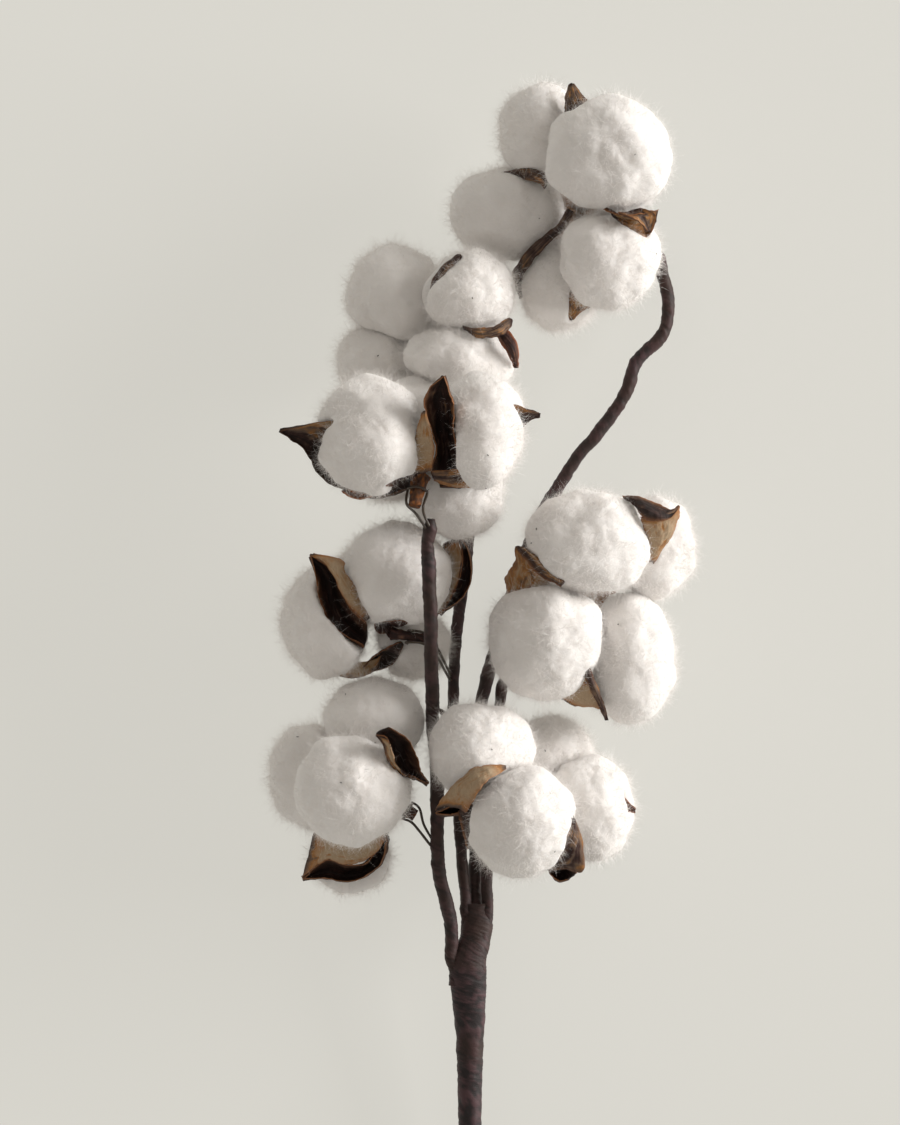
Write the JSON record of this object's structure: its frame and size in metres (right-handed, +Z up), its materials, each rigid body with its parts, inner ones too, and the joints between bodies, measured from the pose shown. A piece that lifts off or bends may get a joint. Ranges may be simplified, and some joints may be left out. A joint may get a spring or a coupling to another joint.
{
  "type": "cotton stem bunch",
  "caption": "Decorative bunch of open cotton bolls in dried brown burrs, wired to branches of tape-wrapped wire that join in one straight stem, lying flat.",
  "frame": {"origin": "bottom centre of the bunch's bounding box, on the surface it lies on", "axes": "+Z up from the surface, +Y along the stem from its cut end to the bolls, +X across the bunch to the right as seen from above with the bolls away from the viewer"},
  "size_m": [0.1338, 0.4986, 0.0804],
  "materials": {
    "cotton": "soft matte raw cotton fibre",
    "burr": "dry matte seed case, dark brown outside and tan inside",
    "wire": "dark olive brown florist's wire",
    "tape": "dull waxed crepe paper tape, brown plum"
  },
  "bodies": {
    "root": {"boll_top_lock_1": "cotton", "boll_top_lock_2": "cotton", "boll_top_lock_3": "cotton", "boll_top_lock_4": "cotton", "boll_top_lock_5": "cotton", "boll_upper_back_lock_1": "cotton", "boll_upper_back_lock_2": "cotton", "boll_upper_back_lock_3": "cotton", "boll_upper_back_lock_4": "cotton", "boll_upper_front_lock_1": "cotton", "boll_upper_front_lock_2": "cotton", "boll_upper_front_lock_3": "cotton", "boll_upper_front_lock_4": "cotton", "boll_upper_front_lock_5": "cotton", "boll_mid_left_lock_1": "cotton", "boll_mid_left_lock_2": "cotton", "boll_mid_left_lock_3": "cotton", "boll_mid_left_lock_4": "cotton", "boll_mid_right_lock_1": "cotton", "boll_mid_right_lock_2": "cotton", "boll_mid_right_lock_3": "cotton", "boll_mid_right_lock_4": "cotton", "boll_low_left_lock_1": "cotton", "boll_low_left_lock_2": "cotton", "boll_low_left_lock_3": "cotton", "boll_low_left_lock_4": "cotton", "boll_low_right_lock_1": "cotton", "boll_low_right_lock_2": "cotton", "boll_low_right_lock_3": "cotton", "boll_low_right_lock_4": "cotton", "boll_top_burr": "burr", "boll_upper_back_burr": "burr", "boll_upper_front_burr": "burr", "boll_mid_left_burr": "burr", "boll_mid_right_burr": "burr", "boll_low_left_burr": "burr", "boll_low_right_burr": "burr", "boll_top_wire": "wire", "boll_upper_back_wire": "wire", "boll_upper_front_wire": "wire", "boll_mid_left_wire": "wire", "boll_mid_right_wire": "wire", "boll_low_left_wire": "wire", "boll_low_right_wire": "wire", "branch_left": "tape", "branch_back": "tape", "branch_tall": "tape", "branch_right": "tape", "main_stem_tape": "tape", "upper_stem_tape": "tape"}
  },
  "joints": []
}
